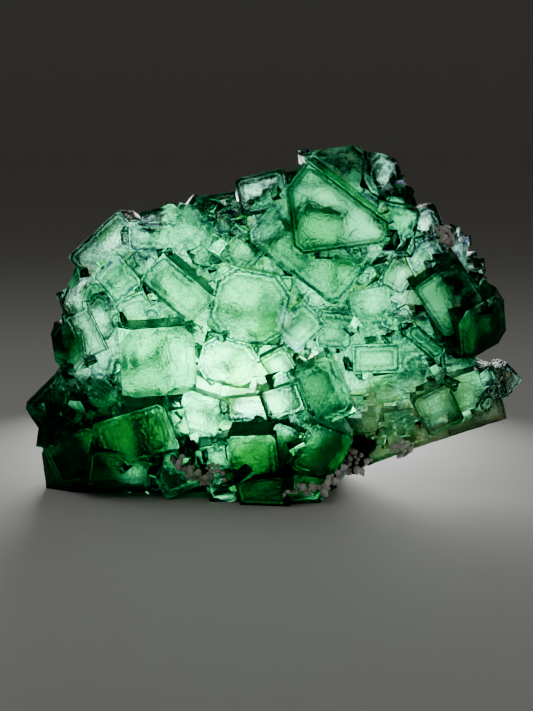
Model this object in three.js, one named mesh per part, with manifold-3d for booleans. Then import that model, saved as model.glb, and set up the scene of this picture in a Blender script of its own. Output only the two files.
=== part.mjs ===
// A hand-sized cluster of green fluorite. Cube crystals with clipped corners have grown through
// each other all over a plate of massive fluorite, and a crust of quartz grains covers part of the
// lower edge. It all grew as one piece, so it is one solid, ground flat where it stands.
// Millimetres, +Z up. The show face looks along -Y, and the origin is under the middle of the
// cluster, on the surface that it stands on.
import * as THREE from "three";
import { ConvexGeometry } from "three/addons/geometries/ConvexGeometry.js";
import { mergeVertices } from "three/addons/utils/BufferGeometryUtils.js";
import Module from "manifold-3d";

// Driving dimensions
const PLATE_FRONT = 7; // the plate's show side, in front of the growth plane y = 0
const PLATE_BACK = 7; // and its back, behind that plane
const ROOT_DEPTH = 0.95; // a crystal's length behind its face, as a share of its mean edge
const CORNER_CLIP = 0.1; // share of an edge that an octahedral face takes off each corner
const LEAST_CLIPPED_EDGE = 7.5; // smaller crystals keep sharp corners
const GRINDER = 200; // edge of the block that grinds the feet flat
const SEED = 20;

// Crystals in number: their spacing, least and most edge, and lean either way in degrees. inset
// draws them in from the plate's outline, as a share of its size, and stand is how far their faces
// stand off the plate. The small crystals fill the valleys of the show face, the crystals of the
// back stand higher at its middle, by dome, and those of the rim cover the plate's edge.
const FILLER = { spacing: 8.5, least: 4, most: 7, lean: 20, inset: 1, stand: [0, 1.5] };
const BACK = { spacing: 13.5, least: 10, most: 16, lean: 24, inset: 0.86, stand: [1, 4], dome: 9 };
const RIM = { spacing: 10, least: 6, most: 9, lean: 30, inset: 0.94 };
const GRID_SHAKE = 0.4; // share of the spacing by which a crystal leaves its place in the grid

const FLUORITE = { color: 0x3f9d63, roughness: 0.22, metalness: 0 };

// Outline of the plate in the show plane [x, z], kept inside the crystals that cover it.
const PLATE_OUTLINE = [
  [-46, 0], [-47, 26], [-42, 44], [-38, 53], [-24, 59], [-8, 61], [4, 70], [20, 70],
  [31, 59], [38, 48], [44, 34], [47, 22], [36, 16], [22, 9], [14, 3], [9, 0],
];

// Crystals of the show face. at is [x, z] of the middle of the face that looks at the viewer and
// out is how far that face stands in front of the growth plane. size is [width, height] of it.
// roll turns it anticlockwise as seen, swing turns it to the viewer's right, and tip turns it up.
const SHOW_FACE = [
  // Crown
  { at: [13.8, 72.6], out: 10, size: [13, 12.5], roll: 8, swing: 4, tip: 12, clip: 0.2 },
  { at: [23.8, 72.7], out: 9, size: [8.5, 9], roll: -20, swing: 25, tip: 10, clip: 0.3 },
  { at: [-2.7, 69.5], out: 11, size: [11, 8], roll: 15, swing: -15, tip: 20 },
  { at: [-12.4, 65.5], out: 8, size: [9, 6.5], roll: 10, swing: -5, tip: 25 },
  { at: [-10.2, 62.5], out: 10, size: [5.5, 5.5], roll: 5, swing: 0, tip: 0 },
  { at: [-6, 63], out: 9, size: [5, 5], roll: 25, swing: 0, tip: 10 },
  { at: [26.4, 67.6], out: 8, size: [8, 8], roll: -25, swing: 20, tip: 15 },
  { at: [26.4, 61.1], out: 12, size: [10, 11], roll: -12, swing: 15, tip: -5 },
  { at: [33.6, 61.5], out: 8, size: [8, 8], roll: 20, swing: 20, tip: 10 },
  // Right shoulder
  { at: [38.7, 46.6], out: 16, size: [12, 14], roll: 35, swing: 5, tip: -8 },
  { at: [46, 39.6], out: 13, size: [13, 13], roll: 20, swing: 35, tip: -15, clip: 0.2 },
  { at: [34, 54.5], out: 11, size: [9, 9], roll: 25, swing: 5, tip: 5 },
  { at: [40, 55], out: 6, size: [7, 7], roll: -15, swing: 25, tip: 15 },
  { at: [44.5, 50], out: 3, size: [7, 8], roll: 20, swing: 30, tip: 10 },
  { at: [27.3, 50.7], out: 10, size: [6.5, 7], roll: -30, swing: 5, tip: 0 },
  { at: [21.6, 43.5], out: 10, size: [9, 8.5], roll: 10, swing: 0, tip: 5 },
  { at: [22.4, 37.1], out: 9, size: [8, 6], roll: 5, swing: 0, tip: 0 },
  { at: [28.2, 40.4], out: 9, size: [6, 5], roll: 30, swing: 0, tip: 0 },
  { at: [33.6, 36.4], out: 13, size: [9, 3.5], roll: -42, swing: 10, tip: 15 },
  { at: [29.8, 34.6], out: 11, size: [7, 7], roll: 20, swing: 0, tip: 0 },
  { at: [22.7, 32.6], out: 13, size: [10.5, 6.5], roll: 2, swing: 0, tip: 8, clip: 0.2 },
  { at: [26.2, 25.7], out: 12, size: [7.5, 6.5], roll: 10, swing: 0, tip: 0 },
  { at: [30.5, 28], out: 11, size: [6.5, 6], roll: -20, swing: 0, tip: 0 },
  { at: [36.9, 20.7], out: 13, size: [9, 10], roll: 25, swing: 10, tip: -5 },
  { at: [43.1, 24.5], out: 11, size: [8, 8.5], roll: 15, swing: 15, tip: 0 },
  { at: [47.5, 23.8], out: 8, size: [10, 9], roll: 30, swing: 25, tip: 0 },
  { at: [53, 25.6], out: 4, size: [6, 6], roll: 45, swing: 20, tip: 0 },
  { at: [45.5, 18], out: 8, size: [14, 7], roll: 20, swing: 10, tip: -25 },
  { at: [28.4, 16.5], out: 12, size: [6.5, 8], roll: 10, swing: 0, tip: 0 },
  { at: [31.5, 14.5], out: 8, size: [7, 7], roll: 18, swing: 0, tip: -12 },
  { at: [34.5, 14.5], out: 9, size: [9, 6], roll: 22, swing: 0, tip: -20 },
  { at: [24, 11], out: 9, size: [9, 7], roll: 25, swing: 0, tip: -20 },
  // Heart
  { at: [-5.3, 44.1], out: 12, size: [17, 16], roll: -12, swing: 0, tip: 0, clip: 0.25 },
  { at: [-21.3, 48], out: 13, size: [15, 8.5], roll: -41, swing: -6, tip: -6 },
  { at: [-25.3, 32.7], out: 17, size: [16.5, 15.5], roll: 3, swing: 8, tip: -4, clip: 0.18 },
  { at: [5.8, 39.2], out: 11, size: [9.5, 8], roll: 45, swing: 0, tip: 0 },
  { at: [13.6, 38.5], out: 10, size: [8, 8.5], roll: -5, swing: 0, tip: 0 },
  { at: [8.7, 24.6], out: 15, size: [14.2, 14.2], roll: 25, swing: -4, tip: 2 },
  { at: [-10.2, 31.8], out: 13, size: [12.5, 10.5], roll: -15, swing: 0, tip: 0, clip: 0.25 },
  { at: [1.3, 30.5], out: 12, size: [6.5, 7.5], roll: 30, swing: 0, tip: 0 },
  { at: [-16.4, 19.9], out: 12, size: [10, 8.5], roll: -20, swing: 0, tip: 0 },
  { at: [-6.4, 20.6], out: 11, size: [9, 5.5], roll: 5, swing: 0, tip: 0 },
  { at: [2, 23.6], out: 17, size: [9.5, 7], roll: 19, swing: -8, tip: -4 },
  // Upper left
  { at: [-36.9, 56], out: 8, size: [16, 10], roll: 43, swing: -12, tip: 8 },
  { at: [-43.1, 46.5], out: 7, size: [7, 10], roll: -25, swing: -25, tip: 0 },
  { at: [-26.4, 59.6], out: 12, size: [10.5, 6.5], roll: 0, swing: 5, tip: 5, clip: 0.3 },
  { at: [-25.3, 63], out: 7, size: [8, 5], roll: 15, swing: 0, tip: 25 },
  { at: [-17.6, 61], out: 9, size: [8.5, 10], roll: -10, swing: 0, tip: 8 },
  { at: [-13.1, 56.5], out: 9, size: [9, 7], roll: 20, swing: 0, tip: 0 },
  { at: [-6.9, 55.5], out: 10, size: [8, 8], roll: -40, swing: 0, tip: 0 },
  { at: [-34.7, 49.8], out: 10, size: [8, 8.5], roll: 40, swing: -5, tip: 0 },
  { at: [-38.2, 41], out: 9, size: [8, 8], roll: -35, swing: -5, tip: 0 },
  { at: [-30.9, 42.9], out: 10, size: [7.5, 6.5], roll: 25, swing: 0, tip: 0 },
  { at: [-24.2, 41.8], out: 9, size: [7.5, 5], roll: -10, swing: 0, tip: 0 },
  { at: [-37.6, 32.6], out: 9, size: [6.5, 11], roll: -12, swing: -5, tip: 0 },
  { at: [-42, 37.5], out: 9, size: [6.5, 11], roll: 25, swing: -10, tip: 0 },
  { at: [-46.5, 43], out: 3, size: [4.5, 7], roll: 25, swing: -30, tip: 0 },
  { at: [-46, 34.3], out: 8, size: [8, 11], roll: 8, swing: -20, tip: 0, clip: 0.3 },
  // Lower left
  { at: [-49, 20.8], out: 12, size: [12.5, 12.5], roll: 45, swing: -30, tip: 12 },
  { at: [-40.4, 21.5], out: 15, size: [11, 10], roll: 51, swing: 0, tip: 5 },
  { at: [-30.4, 15.9], out: 18, size: [17, 12], roll: 19, swing: -4, tip: -10 },
  { at: [-44.2, 10], out: 13, size: [14.5, 14], roll: 14, swing: -15, tip: -20 },
  { at: [-34, 7.2], out: 15, size: [15, 11], roll: -8, swing: 6, tip: -26 },
  { at: [-49.5, 4], out: 6, size: [7.5, 11], roll: 0, swing: -25, tip: -10 },
  { at: [-22, 18], out: 15, size: [5.5, 6.5], roll: 12, swing: 0, tip: 0 },
  { at: [-22, 7], out: 14, size: [10, 11], roll: 25, swing: 4, tip: -10 },
  // Lower middle
  { at: [10.7, 12.7], out: 18, size: [11, 12], roll: -23, swing: 10, tip: -8 },
  { at: [2.4, 11.7], out: 17, size: [9, 13], roll: -22, swing: -8, tip: -6 },
  { at: [-4.2, 8.2], out: 17, size: [11, 17], roll: 5, swing: -10, tip: -12 },
  { at: [-2.5, 2.4], out: 18, size: [11, 9], roll: 10, swing: -6, tip: -18 },
  { at: [6.5, 3.2], out: 17, size: [10, 9], roll: -14, swing: 8, tip: -24 },
  { at: [-11.5, 6.8], out: 15, size: [8.5, 14], roll: 12, swing: 0, tip: -5 },
];

// The crown is the largest crystal, standing corner down. A second cube, nearly upright, steps out
// of its face and ends level with the crown's own sides.
const CROWN = { at: [9.5, 59.5], out: 14, size: [20, 25], roll: 52, swing: -6, tip: -6 };
const CROWN_STEP = { at: [13.5, 67.5], out: 17, size: [21, 20], roll: 7, swing: 4, tip: 2 };

// Bands of quartz grains: points [x, z] that each band follows, with how far out of the growth
// plane it lies, how wide it spreads, and its grains' count and mean radius.
const QUARTZ_BANDS = [
  { path: [[9, 3], [15, 6], [21, 11], [25, 20]], out: 11, spread: 2.2, count: 12, radius: 1.8 },
  { path: [[-21, 16], [-18, 10], [-13, 12]], out: 14.5, spread: 2.2, count: 7, radius: 2 },
  { path: [[39, 59], [44, 55], [47, 48]], out: 3, spread: 1.5, count: 6, radius: 1.9 },
];

const wasm = await Module();
wasm.setup();

// Repeatable numbers from low to high.
function seededRandom(seed) {
  let state = seed;
  return (low, high) => {
    state = (state + 0x6d2b79f5) | 0;
    let t = Math.imul(state ^ (state >>> 15), 1 | state);
    t = (t + Math.imul(t ^ (t >>> 7), 61 | t)) ^ t;
    return low + ((high - low) * ((t ^ (t >>> 14)) >>> 0)) / 4294967296;
  };
}

function solidOf(geometry) {
  const bare = geometry.clone();
  bare.deleteAttribute("normal");
  bare.deleteAttribute("uv");
  const merged = mergeVertices(bare, 1e-4);
  return new wasm.Manifold(
    new wasm.Mesh({
      numProp: 3,
      vertProperties: merged.attributes.position.array,
      triVerts: new Uint32Array(merged.index.array),
    }),
  );
}

function geometryOf(solid) {
  const mesh = solid.getMesh();
  const geometry = new THREE.BufferGeometry();
  geometry.setAttribute("position", new THREE.BufferAttribute(mesh.vertProperties, 3));
  geometry.setIndex(new THREE.BufferAttribute(mesh.triVerts, 1));
  geometry.computeVertexNormals();
  return geometry;
}

// A cube-shaped crystal about the origin, each corner clipped by an octahedral face.
function crystalGeometry(width, depth, height, clip) {
  const least = Math.min(width, depth, height);
  if (least < LEAST_CLIPPED_EDGE) return new THREE.BoxGeometry(width, depth, height);
  const points = [];
  for (const x of [-0.5, 0.5]) {
    for (const y of [-0.5, 0.5]) {
      for (const z of [-0.5, 0.5]) {
        for (const axis of ["x", "y", "z"]) {
          const point = new THREE.Vector3(x * width, y * depth, z * height);
          point[axis] -= Math.sign(point[axis]) * clip * least;
          points.push(point);
        }
      }
    }
  }
  return new ConvexGeometry(points);
}

// A crystal whose front face is centred on a point and turned by roll, swing and tip, in degrees.
function crystalSolid({ face, size, depth, roll, swing, tip, clip = CORNER_CLIP }) {
  const [x, y, z] = [-tip, -roll, swing].map(THREE.MathUtils.degToRad);
  const turn = new THREE.Quaternion().setFromEuler(new THREE.Euler(x, y, z, "ZXY"));
  const middle = new THREE.Vector3(0, depth / 2, 0).applyQuaternion(turn).add(face);
  const geometry = crystalGeometry(size[0], depth, size[1], clip);
  geometry.applyQuaternion(turn);
  geometry.translate(middle.x, middle.y, middle.z);
  return solidOf(geometry);
}

// A crystal of the show face, long enough to be rooted in the plate.
function showCrystal(crystal, extraOut = 0) {
  const out = crystal.out + extraOut;
  const meanEdge = (crystal.size[0] + crystal.size[1]) / 2;
  const depth = Math.max(ROOT_DEPTH * meanEdge, out - PLATE_FRONT / 2);
  const face = new THREE.Vector3(crystal.at[0], -out, crystal.at[1]);
  return crystalSolid({ ...crystal, face, depth });
}

function crownSolid() {
  const reach = CROWN_STEP.out;
  const step = showCrystal(CROWN_STEP).intersect(showCrystal(CROWN, reach));
  return showCrystal(CROWN).add(step);
}

function outlinePoints() {
  return PLATE_OUTLINE.map(([x, z]) => new THREE.Vector2(x, z));
}

function outlineBox() {
  return new THREE.Box2().setFromPoints(outlinePoints());
}

// The plate of massive fluorite that the crystals stand on.
function plateSolid() {
  const outline = new THREE.Shape(outlinePoints());
  const depth = PLATE_FRONT + PLATE_BACK;
  const geometry = new THREE.ExtrudeGeometry(outline, { depth, bevelEnabled: false });
  geometry.rotateX(Math.PI / 2);
  geometry.translate(0, PLATE_BACK, 0);
  return solidOf(geometry);
}

function insideOutline(x, z) {
  let inside = false;
  PLATE_OUTLINE.forEach(([x1, z1], i) => {
    const [x2, z2] = PLATE_OUTLINE.at(i - 1);
    if (z1 > z !== z2 > z && x < x1 + ((z - z1) / (z2 - z1)) * (x2 - x1)) inside = !inside;
  });
  return inside;
}

// Points on a shaken grid over the plate, drawn in from its outline.
function platePoints({ spacing, inset }, random) {
  const box = outlineBox();
  const middle = box.getCenter(new THREE.Vector2());
  const shake = GRID_SHAKE * spacing;
  const points = [];
  for (let z = box.min.y + spacing / 2; z < box.max.y; z += spacing) {
    for (let x = box.min.x + spacing / 2; x < box.max.x; x += spacing) {
      const point = new THREE.Vector2(x + random(-shake, shake), z + random(-shake, shake));
      if (insideOutline(point.x, point.y)) points.push(point.lerp(middle, 1 - inset));
    }
  }
  return points;
}

// Small crystals that fill the valleys between the large ones.
function fillerCrystals(random) {
  return platePoints(FILLER, random).map((point) => {
    const edge = random(FILLER.least, FILLER.most);
    return crystalSolid({
      face: new THREE.Vector3(point.x, -PLATE_FRONT - random(...FILLER.stand), point.y),
      size: [edge, edge],
      depth: edge,
      roll: random(0, 90),
      swing: random(-FILLER.lean, FILLER.lean),
      tip: random(-FILLER.lean, FILLER.lean),
    });
  });
}

// Crystals of the back, which bulges at its middle.
function backCrystals(random) {
  const centre = outlineBox().getCenter(new THREE.Vector2());
  const half = outlineBox().getSize(new THREE.Vector2()).multiplyScalar(0.5);
  return platePoints(BACK, random).map((point) => {
    const across = (point.x - centre.x) / half.x;
    const upward = (point.y - centre.y) / half.y;
    const bulge = BACK.dome * Math.max(0, 1 - across * across - upward * upward);
    const edge = random(BACK.least, BACK.most);
    return crystalSolid({
      face: new THREE.Vector3(point.x, PLATE_BACK + bulge + random(...BACK.stand), point.y),
      size: [edge, edge],
      depth: edge,
      roll: random(0, 90),
      swing: 180 - across * BACK.lean + random(-BACK.lean, BACK.lean),
      tip: upward * BACK.lean + random(-BACK.lean, BACK.lean),
    });
  });
}

// Crystals that cover the plate's edge.
function rimCrystals(random) {
  const middle = outlineBox().getCenter(new THREE.Vector2());
  const corners = outlinePoints().map((point) => point.lerp(middle, 1 - RIM.inset));
  const rim = new THREE.CatmullRomCurve3(
    corners.map(({ x, y }) => new THREE.Vector3(x, 0, y)), true, "catmullrom", 0,
  );
  const count = Math.round(rim.getLength() / RIM.spacing);
  return rim.getSpacedPoints(count).slice(1).map((point) => {
    const edge = random(RIM.least, RIM.most);
    point.y = random(0, PLATE_BACK);
    return crystalSolid({
      face: point.clone().setY(point.y - edge / 2),
      size: [edge, edge],
      depth: edge,
      roll: random(0, 90),
      swing: random(-RIM.lean, RIM.lean),
      tip: random(-RIM.lean, RIM.lean),
    });
  });
}

// Quartz grains scattered along a band.
function quartzGrains(band, random) {
  const path = new THREE.CatmullRomCurve3(band.path.map(([x, z]) => new THREE.Vector3(x, -band.out, z)));
  return Array.from({ length: band.count }, (_, i) => {
    const radius = band.radius * random(0.7, 1.3);
    const geometry = new THREE.IcosahedronGeometry(radius, 0);
    geometry.rotateX(random(0, Math.PI));
    geometry.rotateZ(random(0, Math.PI));
    const place = path.getPointAt((i + 0.5) / band.count);
    geometry.translate(
      place.x + random(-band.spread, band.spread),
      place.y + random(-0.5, 0.5) * band.spread,
      place.z + random(-band.spread, band.spread),
    );
    return solidOf(geometry);
  });
}

// Everything below the surface that the cluster stands on, to grind its feet flat.
function grinderSolid() {
  const block = new THREE.BoxGeometry(GRINDER, GRINDER, GRINDER);
  return solidOf(block.translate(0, 0, -GRINDER / 2));
}

function clusterGeometry() {
  const random = seededRandom(SEED);
  const crystals = [
    crownSolid(),
    ...SHOW_FACE.map((crystal) => showCrystal(crystal)),
    ...fillerCrystals(random),
    ...backCrystals(random),
    ...rimCrystals(random),
    ...QUARTZ_BANDS.flatMap((band) => quartzGrains(band, random)),
  ];
  const grown = crystals.reduce((solid, crystal) => solid.add(crystal), plateSolid());
  const bodies = grown.subtract(grinderSolid()).decompose();
  const cluster = bodies.reduce((a, b) => (a.volume() > b.volume() ? a : b));
  const geometry = geometryOf(cluster);
  geometry.computeBoundingBox();
  const middle = geometry.boundingBox.getCenter(new THREE.Vector3());
  return geometry.translate(-middle.x, -middle.y, 0);
}

const cluster = new THREE.Mesh(clusterGeometry(), new THREE.MeshStandardMaterial(FLUORITE));
cluster.name = "fluorite_cluster";

const part = new THREE.Group();
part.add(cluster);

export default part;
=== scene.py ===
"""Dresses a packed cluster of green fluorite: crystal faces with growth relief and worn edges,
small crystals in the valleys between the large ones, a crust of quartz grains, and a plain stage.
"""

import math

import bmesh
import bpy
import numpy as np
from bpy.props import FloatProperty, FloatVectorProperty, IntProperty, PointerProperty
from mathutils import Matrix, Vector, noise


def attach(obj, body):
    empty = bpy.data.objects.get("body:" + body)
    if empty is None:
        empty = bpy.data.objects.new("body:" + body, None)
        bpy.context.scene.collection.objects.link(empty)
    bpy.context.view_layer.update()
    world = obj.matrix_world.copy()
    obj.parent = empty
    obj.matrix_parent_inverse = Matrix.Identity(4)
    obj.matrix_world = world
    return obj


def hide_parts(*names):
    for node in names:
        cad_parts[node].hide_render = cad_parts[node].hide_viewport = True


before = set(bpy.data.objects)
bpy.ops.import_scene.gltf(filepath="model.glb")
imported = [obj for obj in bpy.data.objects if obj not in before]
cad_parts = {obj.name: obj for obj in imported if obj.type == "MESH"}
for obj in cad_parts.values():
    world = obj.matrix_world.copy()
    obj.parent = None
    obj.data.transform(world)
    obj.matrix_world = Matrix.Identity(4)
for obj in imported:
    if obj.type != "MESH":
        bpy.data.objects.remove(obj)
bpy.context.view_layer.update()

bl_info = {
    "name": "Fluorite Crystal Cluster",
    "version": (1, 0, 0),
    "blender": (4, 5, 0),
    "location": "View3D > Sidebar > Specimen",
    "description": "Crystal faces, quartz crust and stage of a fluorite specimen",
    "category": "Object",
}

NODE = "fluorite_cluster"
MM = 0.001
WELD = 0.004 * MM  # corners closer than this are one corner
FLAT = math.radians(1.0)  # faces that meet at less than this are one crystal face
SOFT = math.radians(24)  # faces that meet at less than this are shaded as one
FLOOR_GAP = 0.02 * MM  # corners below this height are part of the ground feet
BACK_FROM = 3 * MM  # where the back of the cluster begins, along Y
BACK_COARSER = 1.7  # how much longer edges may be there
FLOOR_REACH = 4.0
COVE_START = 0.9  # where the floor begins to turn up into the backdrop
COVE_RADIUS = 0.7
COVE_STEPS = 24
SPLIT_ROUNDS = 7  # rounds of halving edges until none is too long
DEEP_AND_SHADED_CRYSTALS = (  # middle (x, z) and reach in mm of the darkest crystals, and how dark they are: partly deeper colour, partly painted shade where little light reaches
    (-44, 12, 17, 1.0),
    (-22, 6, 11, 0.96),
    (-2, 6, 15, 1.0),
    (14, 9, 11, 1.0),
    (-30, 15, 11, 1.0),
    (44, 37, 11, 1.0),
    (37, 45, 10, 0.9),
    (15, 77, 10, 0.95),
    (13, 60, 17, 0.62),
    (-47, 34, 7, 1.0),
)
QUARTZ_BANDS = (  # routes (x, z) of the bands of quartz over the show face, in mm
    ((3, 2.5), (10, 3.5), (15, 6.5), (19, 10)),
    ((-21.5, 9), (-17, 5.5), (-14, 7)),
    ((36.5, 59), (37.5, 58.5)),
    ((27.5, 12.5), (29.5, 12)),
)
RUST_PATCHES = (  # routes (x, z) of the iron-stained patches, in mm
    ((17, 8), (21, 13), (24, 23)),
    ((28, 13), (33, 14)),
    ((-9, 25), (-5, 26)),
    ((33, 22), (41, 24)),
    ((24, 10), (37, 14), (51, 18)),
)
RUST_REACH = 4.5 * MM
CRUST_DEPTH = 2 * MM  # the crust covers what is in front of this, along Y
CRUST_FLOOR = 2.6 * MM  # and above this height
VALLEY_ANGLE = math.radians(38)  # faces that meet at more than this make a valley
VALLEY_FLOOR = 3 * MM  # lowest place of a small crystal
QUARTER = math.pi / 2
MOST_TRIANGLES = 200_000
FAR = 99.0  # stands for a distance where a face has no edge of that sort, in mm
TINY = 1e-18  # keeps a division from failing
HILLOCK_WIDTH = 5.5 * MM
CHIP_WIDTH = 1.7 * MM
RAGGED_WIDTH = 2.5 * MM  # size of the bays along the edge of a patch
CRUST_DENSITY = 2.5e6  # most grains that are tried on a square metre
FLUORITE_IOR = 1.434
FLUORITE_CLEAR = 0.95  # share of light that goes through a face
BACK_ROUGH = 0.42
RUST_ROUGH = 0.4
QUARTZ_IOR = 1.544
QUARTZ_CLEAR = 0.2
QUARTZ_MILKY = 0.7  # share of light that scatters inside a grain
MILKY_REACH = (1.0, 0.9, 0.7)
MILKY_DEPTH = 1.5 * MM
FLOOR_ROUGH = 0.75
MOST_BOUNCES = 18
CRYSTAL_BOUNCES = 16  # turns of light through crystal
LIGHTS = (  # name, setting of its power, size, place and target in metres, and spread in degrees
    ("back_light", "back_power", (0.11, 0.056), (-0.004, 0.075, 0.037), (-0.004, 0, 0.034), 125),
    ("glow_light", "glow_power", (0.03, 0.02), (-0.010, 0.055, 0.014), (-0.010, 0, 0.026), 75),
    ("left_light", "side_power", (0.3, 0.3), (-0.38, 0.05, 0.2), (0, 0, 0.04), 80),
    ("right_light", "side_power", (0.3, 0.3), (0.38, 0.05, 0.2), (0, 0, 0.04), 80),
    ("key_light", "key_power", (0.5, 0.4), (-0.2, -0.4, 0.6), (0, -0.08, 0.03), 56),
)


class FluoriteSettings(bpy.types.PropertyGroup):
    """Sizes and colours of the fluorite"""

    grid: FloatProperty(
        name="Grid", description="Longest edge of the finished mesh", default=1.3 * MM, unit="LENGTH"
    )
    relief: FloatProperty(
        name="Relief", description="Height of the growth hillocks", default=0.16 * MM, unit="LENGTH"
    )
    parquet: FloatProperty(
        name="Parquet", description="Height of the growth steps", default=0.07 * MM, unit="LENGTH"
    )
    tile: FloatProperty(
        name="Tile", description="Width of a growth step", default=3.4 * MM, unit="LENGTH"
    )
    wear: FloatProperty(
        name="Wear", description="Depth that is worn off the edges", default=0.14 * MM, unit="LENGTH"
    )
    seed: IntProperty(name="Seed", description="Draw of the tones of the faces", default=7)
    depth_tint: FloatVectorProperty(
        name="Depth tint",
        description="Colour that light takes on inside the crystals",
        default=(0.16, 0.85, 0.56),
        subtype="COLOR",
    )
    depth_density: FloatProperty(
        name="Depth density", description="How fast light takes on that colour", default=88.0
    )
    pale: FloatVectorProperty(
        name="Pale", description="Clear faces", default=(0.72, 0.94, 0.86), subtype="COLOR"
    )
    warm: FloatVectorProperty(
        name="Warm",
        description="Clear faces with a yellow cast",
        default=(0.76, 0.95, 0.68),
        subtype="COLOR",
    )
    clouded: FloatVectorProperty(
        name="Clouded", description="Mottled faces", default=(0.13, 0.36, 0.26), subtype="COLOR"
    )
    # dark colour of the growth zones and cracks, also used as painted shade in the seams
    zone_and_shade: FloatVectorProperty(
        name="Zone",
        description="Dark growth zones along edges",
        default=(0.018, 0.012, 0.045),
        subtype="COLOR",
    )
    # near-black of the darkest crystals: deeper colour and painted shade
    deep: FloatVectorProperty(
        name="Deep",
        description="Darkening of the deepest crystals",
        default=(0.005, 0.022, 0.008),
        subtype="COLOR",
    )
    back: FloatVectorProperty(
        name="Back", description="Tint of the frosted back", default=(0.30, 0.80, 0.52), subtype="COLOR"
    )
    thread: FloatVectorProperty(
        name="Thread",
        description="Fine pale threads in the faces",
        default=(0.95, 1.0, 0.96),
        subtype="COLOR",
    )
    gleam: FloatVectorProperty(
        name="Gleam", description="Colour of reflections", default=(0.25, 0.80, 0.50), subtype="COLOR"
    )
    stain: FloatVectorProperty(
        name="Stain", description="Iron stain in the seams", default=(0.50, 0.33, 0.10), subtype="COLOR"
    )


class ValleySettings(bpy.types.PropertyGroup):
    """Small crystals along the valleys between the large ones"""

    spacing: FloatProperty(
        name="Spacing", description="Distance along a valley", default=2.7 * MM, unit="LENGTH"
    )
    share: FloatProperty(
        name="Share", description="Share of the places that hold a crystal", default=0.32, subtype="FACTOR"
    )
    smallest: FloatProperty(
        name="Smallest", description="Edge of the smallest crystal", default=1.6 * MM, unit="LENGTH"
    )
    largest: FloatProperty(
        name="Largest", description="Edge of the largest crystal", default=4.2 * MM, unit="LENGTH"
    )
    seed: IntProperty(name="Seed", description="Draw of places, sizes and turns", default=3)


class QuartzSettings(bpy.types.PropertyGroup):
    """Crust of quartz grains and points"""

    spacing: FloatProperty(
        name="Spacing", description="Least distance between grains", default=0.75 * MM, unit="LENGTH"
    )
    smallest: FloatProperty(
        name="Smallest", description="Width of the smallest grain", default=0.7 * MM, unit="LENGTH"
    )
    largest: FloatProperty(
        name="Largest", description="Width of the largest grain", default=1.6 * MM, unit="LENGTH"
    )
    reach: FloatProperty(
        name="Reach", description="Half the width of a band of quartz", default=2.4 * MM, unit="LENGTH"
    )
    points: FloatProperty(
        name="Points", description="Share of grains that are pointed", default=0.4, subtype="FACTOR"
    )
    seed: IntProperty(name="Seed", description="Draw of places, sizes and turns", default=5)
    grey: FloatVectorProperty(
        name="Grey", description="Clean grains", default=(0.98, 0.99, 0.90), subtype="COLOR"
    )
    beige: FloatVectorProperty(
        name="Beige", description="Iron-stained grains", default=(0.94, 0.93, 0.72), subtype="COLOR"
    )
    fleck: FloatVectorProperty(
        name="Fleck", description="Pale flecks in the grains", default=(0.92, 0.90, 0.84), subtype="COLOR"
    )
    depth_tint: FloatVectorProperty(
        name="Depth tint",
        description="Colour of light inside the grains",
        default=(0.80, 0.70, 0.45),
        subtype="COLOR",
    )
    depth_density: FloatProperty(
        name="Depth density", description="How fast light takes on that colour", default=8.0
    )


class StageSettings(bpy.types.PropertyGroup):
    """Floor, lights and camera"""

    floor: FloatVectorProperty(
        name="Floor", description="Colour of the floor", default=(0.62, 0.62, 0.60), subtype="COLOR"
    )
    room: FloatVectorProperty(
        name="Room", description="Colour of the room", default=(0.12, 0.117, 0.11), subtype="COLOR"
    )
    back_power: FloatProperty(
        name="Back light", description="Soft light behind the cluster", default=0.18, unit="POWER"
    )
    glow_power: FloatProperty(
        name="Glow light", description="Small light close behind the middle", default=0.13, unit="POWER"
    )
    side_power: FloatProperty(
        name="Side lights", description="Soft light from each side", default=0.12, unit="POWER"
    )
    key_power: FloatProperty(
        name="Key light", description="Soft light above the show face", default=0.1, unit="POWER"
    )
    elevation: FloatProperty(
        name="Elevation",
        description="Camera's angle above the horizontal",
        default=math.radians(12),
        subtype="ANGLE",
    )
    distance: FloatProperty(
        name="Distance",
        description="Camera's distance from what it aims at",
        default=350 * MM,
        unit="LENGTH",
    )
    aim: FloatVectorProperty(
        name="Aim",
        description="Point in the middle of the picture",
        default=(-2.1 * MM, -11.7 * MM, 32.9 * MM),
        subtype="XYZ",
    )
    lens: FloatProperty(name="Lens", description="Focal length in millimetres", default=79.75)


# Node trees


def add_node(tree, kind, inputs=None, **settings):
    """A node with its settings and its inputs, each a value or the socket that feeds it."""
    made = tree.nodes.new(kind)
    for name, value in settings.items():
        setattr(made, name, value)
    for name, value in (inputs or {}).items():
        if isinstance(value, bpy.types.NodeSocket):
            tree.links.new(value, made.inputs[name])
        else:
            made.inputs[name].default_value = value
    return made


def math_node(tree, operation, first, second=0.0, clamp=False):
    inputs = {0: first, 1: second}
    return add_node(tree, "ShaderNodeMath", inputs, operation=operation, use_clamp=clamp).outputs[0]


def between(tree, value, low, high):
    """0 where value is at low, 1 where it is at high, smooth between."""
    inputs = {"Value": value, "From Min": low, "From Max": high}
    made = add_node(tree, "ShaderNodeMapRange", inputs, interpolation_type="SMOOTHSTEP")
    return made.outputs["Result"]


def mix_colour(tree, share, first, second, blend="MIX"):
    made = add_node(tree, "ShaderNodeMix", data_type="RGBA", blend_type=blend)
    for socket, value in zip((made.inputs[0], made.inputs[6], made.inputs[7]), (share, first, second)):
        if isinstance(value, bpy.types.NodeSocket):
            tree.links.new(value, socket)
        else:
            socket.default_value = value
    return made.outputs[2]


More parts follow.
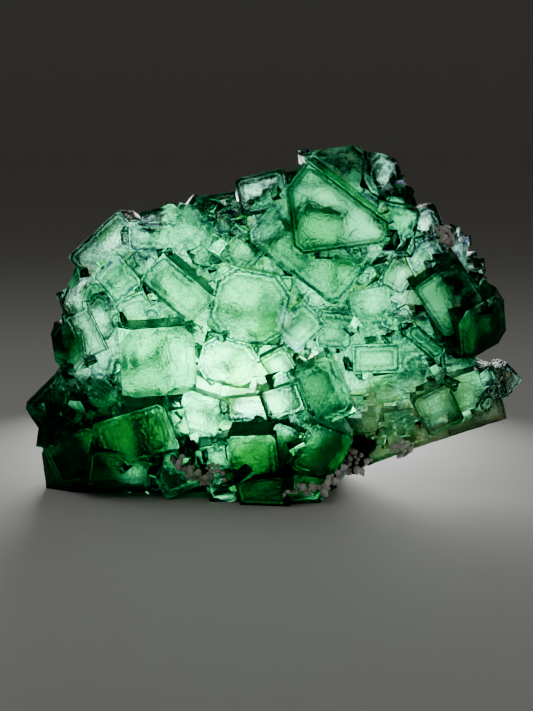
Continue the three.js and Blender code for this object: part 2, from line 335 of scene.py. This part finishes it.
def grain(tree, place, size, detail=3.0, warp=0.0, stretch=(1, 1, 1)):
    """Noise from 0 to 1 whose features are about size across, in metres."""
    scaled = add_node(tree, "ShaderNodeMapping", {"Vector": place, "Scale": stretch}).outputs[0]
    inputs = {"Vector": scaled, "Scale": 1 / size, "Detail": detail, "Distortion": warp}
    return add_node(tree, "ShaderNodeTexNoise", inputs).outputs["Fac"]


def attribute(tree, name):
    return add_node(tree, "ShaderNodeAttribute", attribute_name=name).outputs["Fac"]


def opaque(colour):
    return (*colour, 1.0)


def add(tree, first, second):
    return math_node(tree, "ADD", first, second)


def times(tree, first, second):
    return math_node(tree, "MULTIPLY", first, second)


def less(tree, first, second):
    return math_node(tree, "SUBTRACT", first, second)


def band(tree, value, start, full, fading, end):
    """1 between full and fading, 0 before start and after end."""
    return less(tree, between(tree, value, start, full), between(tree, value, fading, end))


def fluorite_material(look):
    """Green crystal: swirled faces, dark growth zones inside the edges, iron, dust and painted shade in
    the seams, painted shade towards the edges and on the darkest crystals.
    """
    material = bpy.data.materials.new("fluorite_crystal")
    material.use_nodes = True
    tree = material.node_tree
    shader = tree.nodes["Principled BSDF"]
    place = add_node(tree, "ShaderNodeTexCoord").outputs["Object"]
    rim, seam, tone, deep = (attribute(tree, name) for name in ("rim", "seam", "tone", "deep"))
    back = between(tree, add_node(tree, "ShaderNodeSeparateXYZ", {0: place}).outputs["Y"], 2 * MM, 9 * MM)

    cloud = grain(tree, place, 7 * MM, 4, 0.8)
    swirl = grain(tree, place, 2.0 * MM, 6, 2.6)
    fleck = grain(tree, place, 0.6 * MM, 3, 0.6)

    fine = add(tree, times(tree, swirl, 0.43), times(tree, fleck, 0.35))
    mottle = add(tree, times(tree, cloud, 0.22), fine)
    clouded = between(tree, less(tree, mottle, times(tree, less(tree, tone, 0.5), 0.16)), 0.41, 0.58)
    warmth = between(tree, grain(tree, place, 13 * MM, 2), 0.35, 0.65)
    pale = mix_colour(tree, warmth, opaque(look.pale), opaque(look.warm))
    colour = mix_colour(tree, clouded, pale, opaque(look.clouded))
    off_thread = math_node(tree, "ABSOLUTE", less(tree, swirl, 0.47))
    thread = less(tree, 1.0, between(tree, off_thread, 0.0, 0.035))
    colour = mix_colour(tree, times(tree, thread, 0.65), colour, opaque(look.thread))

    spread = add(tree, 0.55, times(tree, tone, 0.9))
    wavering = add(tree, times(tree, rim, spread), times(tree, less(tree, swirl, 0.5), 1.7))
    outer = band(tree, wavering, 0.15, 0.35, 0.65, 1.05)
    inner = band(tree, wavering, 1.35, 1.65, 1.85, 2.4)
    some = between(tree, add(tree, tone, times(tree, less(tree, cloud, 0.5), 2.4)), 0.0, 0.4)
    zoned = times(tree, math_node(tree, "MAXIMUM", outer, times(tree, inner, 0.8)), some)
    colour = mix_colour(tree, zoned, colour, opaque(look.zone_and_shade))

    inputs = {0: place, 1: times(tree, cloud, 3 * MM)}
    shaken = add_node(tree, "ShaderNodeVectorMath", inputs, operation="ADD").outputs[0]
    inputs = {"Vector": shaken, "Scale": 1 / (5 * MM)}
    block = add_node(tree, "ShaderNodeTexVoronoi", inputs).outputs["Color"]
    cells = add_node(tree, "ShaderNodeTexVoronoi", inputs, feature="DISTANCE_TO_EDGE").outputs["Distance"]
    crack = less(tree, 1.0, between(tree, cells, 0.008, 0.035))
    crack = times(tree, crack, between(tree, grain(tree, place, 5 * MM, 2), 0.43, 0.55))
    colour = mix_colour(tree, times(tree, crack, 0.85), colour, opaque(look.zone_and_shade))

    # dust and painted shade: dark speckles along the concave seams between crystals
    near_seam = less(tree, 1.0, between(tree, seam, 0.1, 2.2))
    seam_dust_and_shade = times(tree, near_seam, between(tree, fleck, 0.42, 0.56))
    colour = mix_colour(tree, times(tree, seam_dust_and_shade, 0.8), colour, opaque(look.zone_and_shade))
    iron = between(tree, grain(tree, place, 6 * MM, 2), 0.56, 0.66)
    stained = times(tree, iron, between(tree, swirl, 0.4, 0.5))
    in_seam = less(tree, 1.0, between(tree, seam, 0.1, 1.1))
    colour = mix_colour(tree, times(tree, in_seam, stained), colour, opaque(look.stain))
    rust = attribute(tree, "rust")
    rusty = times(tree, rust, between(tree, swirl, 0.36, 0.56))
    colour = mix_colour(tree, times(tree, rusty, 0.75), colour, opaque(look.stain))
    # painted shade: the faces darken towards their convex edges
    near_rim = less(tree, 1.0, between(tree, rim, 0.0, 4.5))
    painted_edge_shade = times(tree, near_rim, add(tree, 0.15, times(tree, tone, 0.45)))
    uneven = add(tree, times(tree, math_node(tree, "POWER", tone, 2.0), 0.34), times(tree, block, 0.22))
    uneven = add(tree, uneven, painted_edge_shade)
    # the colour darkens by the larger of the painted shade and deeper colour of the listed crystals, and
    # the random face tone, cells and painted edge shade
    darkened = math_node(tree, "MAXIMUM", deep, uneven, True)
    colour = mix_colour(tree, darkened, colour, opaque(look.deep), "MULTIPLY")
    colour = mix_colour(tree, back, colour, opaque(look.back), "MULTIPLY")
    tree.links.new(colour, shader.inputs["Base Color"])

    inputs = {"Value": swirl, "To Min": 0.03, "To Max": 0.22}
    rough = add_node(tree, "ShaderNodeMapRange", inputs).outputs[0]
    rough = times(tree, rough, less(tree, 1.0, times(tree, deep, 0.7)))
    rough = math_node(tree, "MAXIMUM", rough, times(tree, back, BACK_ROUGH))
    rough = math_node(tree, "MAXIMUM", rough, times(tree, rust, RUST_ROUGH))
    tree.links.new(rough, shader.inputs["Roughness"])
    step = times(tree, between(tree, wavering, 0.9, 1.3), 0.4)
    height = add(tree, add(tree, times(tree, mottle, 1.2), times(tree, block, 0.5)), step)
    bump = add_node(tree, "ShaderNodeBump", {"Height": height, "Strength": 0.65, "Distance": 0.35 * MM})
    tree.links.new(bump.outputs[0], shader.inputs["Normal"])

    shader.inputs["IOR"].default_value = FLUORITE_IOR
    shader.inputs["Specular Tint"].default_value = opaque(look.gleam)
    shader.inputs["Transmission Weight"].default_value = FLUORITE_CLEAR
    inside = add_node(
        tree,
        "ShaderNodeVolumeAbsorption",
        {"Color": opaque(look.depth_tint), "Density": look.depth_density},
    )
    tree.links.new(inside.outputs[0], tree.nodes["Material Output"].inputs["Volume"])
    return material


def quartz_material(look):
    """Cloudy quartz, from grey to iron-stained."""
    material = bpy.data.materials.new("quartz_grain")
    material.use_nodes = True
    tree = material.node_tree
    shader = tree.nodes["Principled BSDF"]
    place = add_node(tree, "ShaderNodeTexCoord").outputs["Object"]
    shade = attribute(tree, "shade")
    patch = grain(tree, place, 5 * MM, 3)
    fleck = grain(tree, place, 0.5 * MM, 4, 0.8)
    stained = between(tree, add(tree, patch, times(tree, less(tree, shade, 0.5), 0.35)), 0.38, 0.62)
    colour = mix_colour(tree, stained, opaque(look.grey), opaque(look.beige))
    pale = times(tree, between(tree, fleck, 0.5, 0.68), 0.45)
    colour = mix_colour(tree, pale, colour, opaque(look.fleck))
    tree.links.new(colour, shader.inputs["Base Color"])
    rough = add_node(tree, "ShaderNodeMapRange", {"Value": fleck, "To Min": 0.12, "To Max": 0.5})
    tree.links.new(rough.outputs[0], shader.inputs["Roughness"])
    bump = add_node(tree, "ShaderNodeBump", {"Height": fleck, "Strength": 0.4, "Distance": 0.15 * MM})
    tree.links.new(bump.outputs[0], shader.inputs["Normal"])
    shader.inputs["IOR"].default_value = QUARTZ_IOR
    shader.inputs["Transmission Weight"].default_value = QUARTZ_CLEAR
    shader.inputs["Subsurface Weight"].default_value = QUARTZ_MILKY
    shader.inputs["Subsurface Radius"].default_value = MILKY_REACH
    shader.inputs["Subsurface Scale"].default_value = MILKY_DEPTH
    inside = add_node(
        tree,
        "ShaderNodeVolumeAbsorption",
        {"Color": opaque(look.depth_tint), "Density": look.depth_density},
    )
    tree.links.new(inside.outputs[0], tree.nodes["Material Output"].inputs["Volume"])
    return material


def plain_material(name, colour, roughness):
    material = bpy.data.materials.new(name)
    material.use_nodes = True
    shader = material.node_tree.nodes["Principled BSDF"]
    shader.inputs["Base Color"].default_value = opaque(colour)
    shader.inputs["Roughness"].default_value = roughness
    return material


# Geometry Nodes


def new_tree(name, **inputs):
    """A tree that takes and gives a geometry, with named inputs and their defaults."""
    tree = bpy.data.node_groups.new(name, "GeometryNodeTree")
    tree.interface.new_socket("Geometry", in_out="INPUT", socket_type="NodeSocketGeometry")
    tree.interface.new_socket("Geometry", in_out="OUTPUT", socket_type="NodeSocketGeometry")
    for label, default in inputs.items():
        kind = "NodeSocketInt" if isinstance(default, int) else "NodeSocketFloat"
        tree.interface.new_socket(label, in_out="INPUT", socket_type=kind).default_value = default
    given = tree.nodes.new("NodeGroupInput").outputs
    result = tree.nodes.new("NodeGroupOutput").inputs[0]
    return tree, given, result


def random_number(tree, low, high, seed):
    inputs = {2: low, 3: high, "Seed": seed}
    return add_node(tree, "FunctionNodeRandomValue", inputs, data_type="FLOAT").outputs[1]


def random_vector(tree, low, high, seed):
    inputs = {0: low, 1: high, "Seed": seed}
    return add_node(tree, "FunctionNodeRandomValue", inputs, data_type="FLOAT_VECTOR").outputs[0]


def end_tree(tree, instances, material, result):
    """Ends a tree: the instances become one mesh with its material."""
    whole = add_node(tree, "GeometryNodeRealizeInstances", {"Geometry": instances}).outputs[0]
    made = add_node(tree, "GeometryNodeSetMaterial", {"Geometry": whole, "Material": material}).outputs[0]
    tree.links.new(made, result)


def grow(tree, mesh, look):
    """What a tree makes from a mesh, as a plain mesh. Its inputs come from the settings of that name."""
    source = bpy.data.objects.new(tree.name, mesh)
    bpy.context.scene.collection.objects.link(source)
    modifier = source.modifiers.new(tree.name, "NODES")
    modifier.node_group = tree
    for item in tree.interface.items_tree:
        if item.in_out == "INPUT" and item.name != "Geometry":
            modifier[item.identifier] = getattr(look, item.name.lower())
    depsgraph = bpy.context.evaluated_depsgraph_get()
    made = bpy.data.meshes.new_from_object(
        source.evaluated_get(depsgraph), preserve_all_data_layers=True, depsgraph=depsgraph
    )
    source.modifiers.remove(modifier)
    bpy.data.objects.remove(source)
    if not made.polygons:
        raise RuntimeError(tree.name + " made nothing")
    return made


def valley_tree(material):
    """Small cubes along the valleys of a mesh, on its show face and sides."""
    tree, given, result = new_tree(
        "valley_crystals", Spacing=1.0, Share=0.5, Smallest=1.0, Largest=2.0, Seed=0
    )
    angle = add_node(tree, "GeometryNodeInputMeshEdgeAngle").outputs["Signed Angle"]
    valley = math_node(tree, "LESS_THAN", angle, -VALLEY_ANGLE)
    routes = add_node(tree, "GeometryNodeMeshToCurve", {"Mesh": given["Geometry"], "Selection": valley})
    inputs = {"Curve": routes.outputs[0], "Length": given["Spacing"]}
    places = add_node(tree, "GeometryNodeCurveToPoints", inputs, mode="LENGTH").outputs["Points"]
    position = add_node(tree, "GeometryNodeInputPosition").outputs[0]
    axes = add_node(tree, "ShaderNodeSeparateXYZ", {0: position})
    low = math_node(tree, "LESS_THAN", axes.outputs["Z"], VALLEY_FLOOR)
    behind = math_node(tree, "GREATER_THAN", axes.outputs["Y"], BACK_FROM)
    empty = math_node(tree, "GREATER_THAN", random_number(tree, 0.0, 1.0, given["Seed"]), given["Share"])
    dropped = math_node(tree, "MAXIMUM", math_node(tree, "MAXIMUM", low, behind), empty)
    inputs = {"Geometry": places, "Selection": dropped}
    places = add_node(tree, "GeometryNodeDeleteGeometry", inputs).outputs[0]
    inputs = {"Geometry": places, "Distance": given["Spacing"]}
    places = add_node(tree, "GeometryNodeMergeByDistance", inputs).outputs[0]
    cube = add_node(tree, "GeometryNodeMeshCube", {"Size": (1, 1, 1)}).outputs["Mesh"]
    edges = random_vector(tree, given["Smallest"], given["Largest"], add(tree, given["Seed"], 1))
    turn = random_vector(tree, (0, 0, 0), (QUARTER,) * 3, add(tree, given["Seed"], 2))
    inputs = {"Points": places, "Instance": cube, "Rotation": turn, "Scale": edges}
    cubes = add_node(tree, "GeometryNodeInstanceOnPoints", inputs).outputs[0]
    end_tree(tree, cubes, material, result)
    return tree


def quartz_point(tree):
    """A six-sided quartz crystal one wide, its point up."""
    inputs = {
        "Vertices": 6,
        "Side Segments": 2,
        "Radius Top": 0.0,
        "Radius Bottom": 0.5,
        "Depth": 1.5,
    }
    cone = add_node(tree, "GeometryNodeMeshCone", inputs, fill_type="NGON").outputs["Mesh"]
    position = add_node(tree, "GeometryNodeInputPosition").outputs[0]
    height = add_node(tree, "ShaderNodeSeparateXYZ", {0: position}).outputs["Z"]
    middle = band(tree, height, 0.2, 0.6, 0.9, 1.3)
    inputs = {0: position, 1: (2, 2, 1)}
    widened = add_node(tree, "ShaderNodeVectorMath", inputs, operation="MULTIPLY").outputs[0]
    inputs = {"Geometry": cone, "Selection": middle, "Position": widened}
    return add_node(tree, "GeometryNodeSetPosition", inputs).outputs[0]


def quartz_tree(material):
    """Grains and points of quartz on the faces whose crust attribute is above zero."""
    tree, given, result = new_tree(
        "quartz_crust", Spacing=1.0, Smallest=1.0, Largest=2.0, Points=0.5, Seed=0
    )
    inputs = {"Name": "crust"}
    crust = add_node(tree, "GeometryNodeInputNamedAttribute", inputs, data_type="FLOAT").outputs[0]
    inputs = {
        "Mesh": given["Geometry"],
        "Distance Min": given["Spacing"],
        "Density Max": CRUST_DENSITY,
        "Density Factor": crust,
        "Seed": given["Seed"],
    }
    spread = add_node(tree, "GeometryNodeDistributePointsOnFaces", inputs, distribute_method="POISSON")
    inputs = {
        "Geometry": spread.outputs["Points"],
        "Name": "shade",
        "Value": random_number(tree, 0.0, 1.0, add(tree, given["Seed"], 1)),
    }
    shaded = add_node(tree, "GeometryNodeStoreNamedAttribute", inputs, data_type="FLOAT", domain="POINT")
    inputs = {"Segments": 8, "Rings": 5, "Radius": 0.5}
    ball = add_node(tree, "GeometryNodeMeshUVSphere", inputs).outputs["Mesh"]
    ball = add_node(tree, "GeometryNodeSetShadeSmooth", {"Geometry": ball}).outputs[0]
    kinds = add_node(tree, "GeometryNodeGeometryToInstance")
    for shape in (quartz_point(tree), ball):
        tree.links.new(shape, kinds.inputs[0])
    pointed = random_number(tree, 0.0, 1.0, add(tree, given["Seed"], 2))
    width = random_number(tree, given["Smallest"], given["Largest"], add(tree, given["Seed"], 3))
    lean = random_vector(tree, (-0.5, -0.5, -3.0), (0.5, 0.5, 3.0), add(tree, given["Seed"], 4))
    inputs = {0: spread.outputs["Rotation"], 1: lean}
    turned = add_node(tree, "FunctionNodeRotateRotation", inputs, rotation_space="LOCAL").outputs[0]
    inputs = {
        "Points": shaded.outputs[0],
        "Instance": kinds.outputs[0],
        "Pick Instance": True,
        "Instance Index": math_node(tree, "LESS_THAN", pointed, given["Points"]),
        "Rotation": turned,
        "Scale": width,
    }
    grains = add_node(tree, "GeometryNodeInstanceOnPoints", inputs).outputs[0]
    end_tree(tree, grains, material, result)
    return tree


# Crystal mesh


def welded(mesh):
    """A copy of a mesh with its corners joined."""
    bm = bmesh.new()
    bm.from_mesh(mesh)
    bmesh.ops.remove_doubles(bm, verts=bm.verts, dist=WELD)
    made = bpy.data.meshes.new("welded")
    bm.to_mesh(made)
    bm.free()
    return made


def united(first, second):
    """One solid of two."""
    objects = [bpy.data.objects.new("solid", mesh) for mesh in (first, second)]
    for solid in objects:
        bpy.context.scene.collection.objects.link(solid)
    join = objects[0].modifiers.new("join", "BOOLEAN")
    join.operation = "UNION"
    join.solver = "MANIFOLD"
    join.object = objects[1]
    depsgraph = bpy.context.evaluated_depsgraph_get()
    made = bpy.data.meshes.new_from_object(objects[0].evaluated_get(depsgraph), depsgraph=depsgraph)
    for solid in objects:
        bpy.data.objects.remove(solid)
    if len(made.polygons) <= len(first.polygons):
        raise RuntimeError("the small crystals did not join the large ones")
    return made


def in_order(mesh):
    """A copy of a mesh with corners and faces in an order that only their places decide."""
    points, rank = np.unique([tuple(v.co) for v in mesh.vertices], axis=0, return_inverse=True)
    rank = rank.ravel().tolist()
    faces = []
    for polygon in mesh.polygons:
        corners = [rank[i] for i in polygon.vertices]
        first = corners.index(min(corners))
        faces.append(tuple(corners[first:] + corners[:first]))
    made = bpy.data.meshes.new("ordered")
    made.from_pydata(points, [], sorted(faces))
    return made


def crystal_faces(mesh):
    """A solid's triangles joined into crystal faces, with sharp edges marked."""
    bm = bmesh.new()
    bm.from_mesh(in_order(mesh))
    bmesh.ops.remove_doubles(bm, verts=bm.verts, dist=WELD)
    bmesh.ops.dissolve_limit(bm, angle_limit=FLAT, verts=bm.verts, edges=bm.edges)
    joined = bpy.data.meshes.new("joined")
    bm.to_mesh(joined)
    bm.clear()
    bm.from_mesh(in_order(joined))
    for edge in bm.edges:
        edge.smooth = edge.is_manifold and edge.calc_face_angle(0.0) < FLAT
    return bm


def edge_limit(edge, longest):
    """Longest edge allowed where this one is: the back of the cluster is split less finely."""
    behind = (edge.verts[0].co.y + edge.verts[1].co.y) / 2 > BACK_FROM
    return longest * BACK_COARSER if behind else longest


def split_faces(bm, longest):
    """Splits every edge down to a length, with well-shaped triangles inside each crystal face."""
    bmesh.ops.triangulate(bm, faces=bm.faces[:])
    for _ in range(SPLIT_ROUNDS):
        long_edges = [edge for edge in bm.edges if edge.calc_length() > edge_limit(edge, longest)]
        if not long_edges:
            break
        bmesh.ops.subdivide_edges(bm, edges=long_edges, cuts=1)
        bmesh.ops.triangulate(bm, faces=bm.faces[:])
        inner = [edge for edge in bm.edges if edge.smooth]
        bmesh.ops.beautify_fill(bm, faces=bm.faces[:], edges=inner, method="ANGLE")


def number_faces(bm):
    """For each triangle the number of the crystal face that it is part of."""
    bm.faces.ensure_lookup_table()
    number = np.full(len(bm.faces), -1)
    count = 0
    for start in bm.faces:
        if number[start.index] >= 0:
            continue
        number[start.index] = count
        open_faces = [start]
        while open_faces:
            for edge in open_faces.pop().edges:
                if not edge.smooth:
                    continue
                for face in edge.link_faces:
                    if number[face.index] < 0:
                        number[face.index] = count
                        open_faces.append(face)
        count += 1
    return number


def segment_distance(points, starts, ends):
    """Distance of each point from the nearest of some segments."""
    if not len(starts):
        return np.full(len(points), FAR * MM)
    along = ends - starts
    share = np.einsum("psk,sk->ps", points[:, None] - starts, along)
    share = share / np.maximum((along**2).sum(1), TINY)
    nearest = starts + np.clip(share, 0, 1)[..., None] * along
    return np.sqrt(((points[:, None] - nearest) ** 2).sum(2)).min(1)


def route_distance(points, routes):
    """Distance of each point from the nearest of some routes, which are in mm."""
    lines = [np.array(route) * MM for route in routes]
    return np.min([segment_distance(points, line[:-1], line[1:]) for line in lines], axis=0)


def tile_heights(u, v, tile, number):
    """Heights from 0 to 1 of a parquet of growth steps on one crystal face."""
    column, row = np.floor(u / tile), np.floor(v / tile)
    return np.modf(np.abs(np.sin(column * 12.99 + row * 78.23 + number * 3.77) * 4375.85))[0]


def smooth_step(value, low, high):
    t = np.clip((value - low) / (high - low), 0, 1)
    return t * t * (3 - 2 * t)


def finish_crystals(bm, look, crust_reach):
    """Gives the split faces their relief and worn edges, and returns the mesh with its attributes."""
    number = number_faces(bm)
    bm.verts.index_update()
    points = np.array([v.co for v in bm.verts])
    corners = np.array([[v.index for v in f.verts] for f in bm.faces])
    sharp = [(e, e.calc_face_angle_signed(0.0) > 0) for e in bm.edges if not e.smooth]
    face_edges = {}
    on_edge = np.zeros(len(points), bool)
    bulging = np.zeros(len(points), bool)
    for edge, convex in sharp:
        ends = [v.index for v in edge.verts]
        on_edge[ends] = True
        if convex:
            bulging[ends] = True
        for face in edge.link_faces:
            face_edges.setdefault(number[face.index], []).append((*ends, convex))

    order = np.argsort(number, kind="stable")
    groups = np.split(order, np.flatnonzero(np.diff(number[order])) + 1)
    rim = np.empty(corners.shape)
    seam = np.empty(corners.shape)
    moved = points.copy()
    pull = np.zeros(points.shape)
    hillock = np.array([noise.noise(Vector(p) / HILLOCK_WIDTH) for p in points])
    for face, group in enumerate(groups):
        used, where = np.unique(corners[group], return_inverse=True)
        where = where.reshape(-1, 3)
        edges = np.array(face_edges.get(face, np.empty((0, 3))), int)
        convex = edges[:, 2].astype(bool)
        own = points[used]
        to_rim = segment_distance(own, points[edges[convex, 0]], points[edges[convex, 1]])
        to_seam = segment_distance(own, points[edges[~convex, 0]], points[edges[~convex, 1]])
        rim[group], seam[group] = to_rim[where], to_seam[where]
        a, b, c = (points[corners[group, k]] for k in range(3))
        normal = np.cross(b - a, c - a).sum(0)
        normal /= np.linalg.norm(normal) + TINY
        pull[used] += normal
        if normal[2] < -0.99 and own[:, 2].max() < FLOOR_GAP:
            continue
        lengths = np.linalg.norm(points[edges[:, 1]] - points[edges[:, 0]], axis=1)
        longest = edges[lengths.argmax()] if len(edges) else (used[0], used[-1])
        u_axis = points[longest[1]] - points[longest[0]]
        u_axis /= np.linalg.norm(u_axis) + TINY
        v_axis = np.cross(normal, u_axis)
        waver = hillock[used] * 1.2 * MM
        step = tile_heights(own @ u_axis + waver, own @ v_axis - waver, look.tile, face)
        fade = smooth_step(np.minimum(to_rim, to_seam), 0.2 * MM, 1.6 * MM)
        height = fade * (look.relief * hillock[used] + look.parquet * (step - 0.5))
        inner = ~on_edge[used]
        moved[used[inner]] += height[inner, None] * normal
    chip = np.array([0.55 + 0.9 * noise.noise(Vector(p) / CHIP_WIDTH) for p in points])
    worn = bulging & (points[:, 2] > FLOOR_GAP)
    pull /= np.linalg.norm(pull, axis=1, keepdims=True) + TINY
    moved[worn] -= (look.wear * np.clip(chip, 0, 1.4))[worn, None] * pull[worn]

    for vert, place in zip(bm.verts, moved):
        vert.co = place
    mesh = bpy.data.meshes.new("fluorite_crystals")
    bm.to_mesh(mesh)
    bm.free()
    random = np.random.default_rng(look.seed)
    # deeper colour and painted shade: darkening around each listed crystal
    deep = np.zeros(len(moved))
    for x, z, reach, darkness in DEEP_AND_SHADED_CRYSTALS:
        apart = np.hypot(moved[:, 0] / MM - x, moved[:, 2] / MM - z)
        deep = np.maximum(deep, darkness * (1 - smooth_step(apart, 0.55 * reach, 1.25 * reach)))
    tones = random.random(len(groups))[number]
    flat = moved[:, (0, 2)]
    ragged = np.array([noise.noise(Vector(p) / RAGGED_WIDTH) for p in moved])
    crust = 1 - smooth_step(route_distance(flat, QUARTZ_BANDS) / crust_reach + 0.45 * ragged, 0.55, 1.0)
    rust = 1 - smooth_step(route_distance(flat, RUST_PATCHES) / RUST_REACH + 0.45 * ragged, 0.3, 1.2)
    crust[(moved[:, 1] > CRUST_DEPTH) | (moved[:, 2] < CRUST_FLOOR)] = 0
    for name, domain, values in (
        ("rim", "CORNER", rim / MM),
        ("seam", "CORNER", seam / MM),
        ("tone", "FACE", tones),
        ("deep", "POINT", deep),
        ("crust", "POINT", crust),
        ("rust", "POINT", rust),
    ):
        layer = mesh.attributes.new(name, "FLOAT", domain)
        layer.data.foreach_set("value", values.astype(np.float32).ravel())
    mesh.shade_smooth()
    mesh.set_sharp_from_angle(angle=SOFT)
    return mesh


class SPECIMEN_OT_fluorite(bpy.types.Operator):
    """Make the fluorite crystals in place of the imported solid"""

    bl_idname = "specimen.fluorite"
    bl_label = "Fluorite crystals"

    def execute(self, context):
        look = context.scene.fluorite
        material = fluorite_material(look)
        solid = welded(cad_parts[NODE].data)
        solid = united(solid, grow(valley_tree(material), solid, context.scene.valley))
        bm = crystal_faces(solid)
        split_faces(bm, look.grid)
        mesh = finish_crystals(bm, look, context.scene.quartz.reach)
        if len(mesh.polygons) >= MOST_TRIANGLES:
            raise RuntimeError(f"the crystals have too many faces: {len(mesh.polygons)}")
        mesh.materials.clear()
        mesh.materials.append(material)
        piece = bpy.data.objects.new("fluorite_crystals", mesh)
        context.scene.collection.objects.link(piece)
        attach(piece, "root")
        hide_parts(NODE)
        return {"FINISHED"}


class SPECIMEN_OT_quartz(bpy.types.Operator):
    """Make the quartz grains that cling to the crystals"""

    bl_idname = "specimen.quartz"
    bl_label = "Quartz crust"

    def execute(self, context):
        look = context.scene.quartz
        ground = bpy.data.objects["fluorite_crystals"].data
        mesh = grow(quartz_tree(quartz_material(look)), ground, look)
        piece = bpy.data.objects.new("quartz_crust", mesh)
        context.scene.collection.objects.link(piece)
        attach(piece, "root")
        return {"FINISHED"}


# Stage


def soft_light(name, power, size, place, target, spread):
    """A soft rectangular light that the camera doesn't see."""
    data = bpy.data.lights.new(name, "AREA")
    data.shape = "RECTANGLE"
    data.size, data.size_y = size
    data.energy = power
    light = bpy.data.objects.new(name, data)
    light.location = place
    light.rotation_mode = "QUATERNION"
    light.rotation_quaternion = (Vector(target) - Vector(place)).to_track_quat("-Z", "Y")
    light.visible_camera = False
    data.spread = math.radians(spread)
    bpy.context.scene.collection.objects.link(light)


def floor_mesh():
    """A floor that turns up into a backdrop far behind the cluster."""
    profile = [(-FLOOR_REACH, 0.0), (COVE_START, 0.0)]
    for step in range(1, COVE_STEPS + 1):
        turn = QUARTER * step / COVE_STEPS
        rise = COVE_RADIUS * (1 - math.cos(turn))
        profile.append((COVE_START + COVE_RADIUS * math.sin(turn), rise))
    profile.append((COVE_START + COVE_RADIUS, FLOOR_REACH))
    points = [(x, y, z) for y, z in profile for x in (-FLOOR_REACH, FLOOR_REACH)]
    strips = [(2 * i, 2 * i + 1, 2 * i + 3, 2 * i + 2) for i in range(len(profile) - 1)]
    mesh = bpy.data.meshes.new("floor")
    mesh.from_pydata(points, [], strips)
    mesh.shade_smooth()
    return mesh


class SPECIMEN_OT_stage(bpy.types.Operator):
    """Make the floor, the lights and the camera"""

    bl_idname = "specimen.stage"
    bl_label = "Stage"

    def execute(self, context):
        scene = context.scene
        stage = scene.stage
        mesh = floor_mesh()
        mesh.materials.append(plain_material("floor", stage.floor, FLOOR_ROUGH))
        floor = bpy.data.objects.new("floor", mesh)
        scene.collection.objects.link(floor)
        for name, power, *shape in LIGHTS:
            soft_light(name, getattr(stage, power), *shape)

        world = bpy.data.worlds.new("room")
        world.use_nodes = True
        world.node_tree.nodes["Background"].inputs["Color"].default_value = opaque(stage.room)
        scene.world = world

        camera = bpy.data.objects.new("camera", bpy.data.cameras.new("camera"))
        camera.data.lens = stage.lens
        back = Vector((0, -math.cos(stage.elevation), math.sin(stage.elevation)))
        camera.location = Vector(stage.aim) + back * stage.distance
        camera.rotation_mode = "QUATERNION"
        camera.rotation_quaternion = (-back).to_track_quat("-Z", "Y")
        scene.collection.objects.link(camera)
        scene.camera = camera
        scene.view_settings.look = "AgX - Punchy"
        scene.cycles.max_bounces = MOST_BOUNCES
        scene.cycles.transmission_bounces = CRYSTAL_BOUNCES
        return {"FINISHED"}


class SPECIMEN_PT_panel(bpy.types.Panel):
    """Settings and steps of the specimen"""

    bl_idname = "SPECIMEN_PT_panel"
    bl_label = "Fluorite specimen"
    bl_space_type = "VIEW_3D"
    bl_region_type = "UI"
    bl_category = "Specimen"

    def draw(self, context):
        for group, cls in SETTINGS.items():
            box = self.layout.box()
            for name in cls.__annotations__:
                box.prop(getattr(context.scene, group), name)
        for step in STEPS:
            self.layout.operator(step.bl_idname)


SETTINGS = {
    "fluorite": FluoriteSettings,
    "valley": ValleySettings,
    "quartz": QuartzSettings,
    "stage": StageSettings,
}
STEPS = (SPECIMEN_OT_fluorite, SPECIMEN_OT_quartz, SPECIMEN_OT_stage)
CLASSES = (*SETTINGS.values(), *STEPS, SPECIMEN_PT_panel)


def register():
    for cls in CLASSES:
        bpy.utils.register_class(cls)
    for name, cls in SETTINGS.items():
        setattr(bpy.types.Scene, name, PointerProperty(type=cls))


def unregister():
    for name in SETTINGS:
        delattr(bpy.types.Scene, name)
    for cls in reversed(CLASSES):
        bpy.utils.unregister_class(cls)


def main():
    register()
    bpy.ops.specimen.fluorite()
    bpy.ops.specimen.quartz()
    bpy.ops.specimen.stage()


if __name__ == "__main__":
    main()
